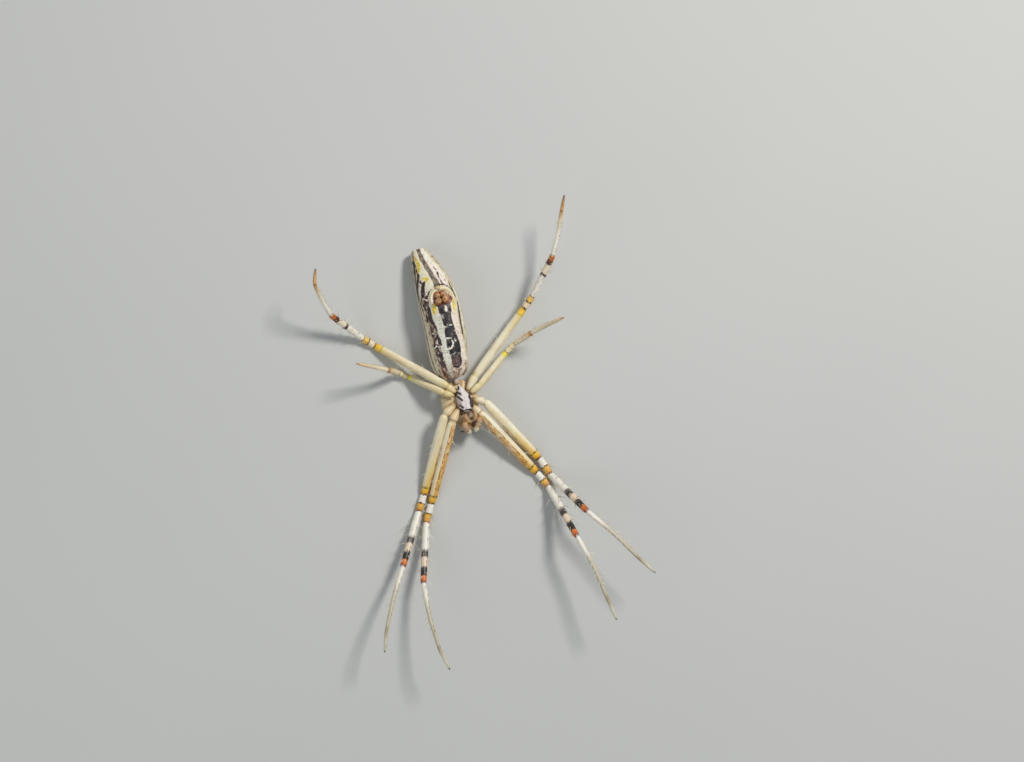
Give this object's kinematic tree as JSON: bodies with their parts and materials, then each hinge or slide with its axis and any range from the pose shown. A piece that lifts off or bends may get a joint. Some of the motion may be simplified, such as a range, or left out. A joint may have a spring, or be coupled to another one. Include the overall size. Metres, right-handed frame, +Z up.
{
  "type": "orb weaver spider",
  "caption": "Orb weaver spider (a long-tailed Argiope), a still life-size model that lies on its back with its legs spread in an X, as it hangs in its web.",
  "frame": {"origin": "on the floor, under the middle of the whole spider's box", "axes": "+Z up, out of the belly; +Y towards the tail, so the head points to -Y; +X towards the spider's right side"},
  "size_m": [0.028, 0.0392, 0.006],
  "materials": {
    "shell": "satin",
    "sternum": "satin",
    "mouth": "satin",
    "leg": "satin",
    "foot": "satin",
    "belly": "satin",
    "spinneret": "gloss",
    "eye": "gloss"
  },
  "bodies": {
    "root": {"abdomen": "belly", "tail": "belly", "anal_tubercle": "spinneret", "epigyne": "spinneret", "pedicel": "mouth", "carapace": "shell", "sternum": "sternum", "labium": "sternum", "endite_left": "mouth", "endite_right": "mouth", "chelicera_left": "mouth", "chelicera_right": "mouth", "palp_left": "mouth", "palp_right": "mouth", "spinneret_front_left": "spinneret", "spinneret_front_right": "spinneret", "spinneret_rear_left": "spinneret", "spinneret_rear_right": "spinneret", "eye_front_middle_left": "eye", "eye_front_middle_right": "eye", "eye_rear_middle_left": "eye", "eye_rear_middle_right": "eye", "eye_front_side_left": "eye", "eye_front_side_right": "eye", "eye_rear_side_left": "eye", "eye_rear_side_right": "eye", "leg1_left_coxa": "leg", "leg1_left_femur": "leg", "leg1_left_shin": "leg", "leg1_left_foot": "foot", "leg1_right_coxa": "leg", "leg1_right_femur": "leg", "leg1_right_shin": "leg", "leg1_right_foot": "foot", "leg2_left_coxa": "leg", "leg2_left_femur": "leg", "leg2_left_shin": "leg", "leg2_left_foot": "foot", "leg2_right_coxa": "leg", "leg2_right_femur": "leg", "leg2_right_shin": "leg", "leg2_right_foot": "foot", "leg3_left_coxa": "leg", "leg3_left_femur": "leg", "leg3_left_shin": "leg", "leg3_left_foot": "foot", "leg3_right_coxa": "leg", "leg3_right_femur": "leg", "leg3_right_shin": "leg", "leg3_right_foot": "foot", "leg4_left_coxa": "leg", "leg4_left_femur": "leg", "leg4_left_shin": "leg", "leg4_left_foot": "foot", "leg4_right_coxa": "leg", "leg4_right_femur": "leg", "leg4_right_shin": "leg", "leg4_right_foot": "foot"}
  },
  "joints": []
}
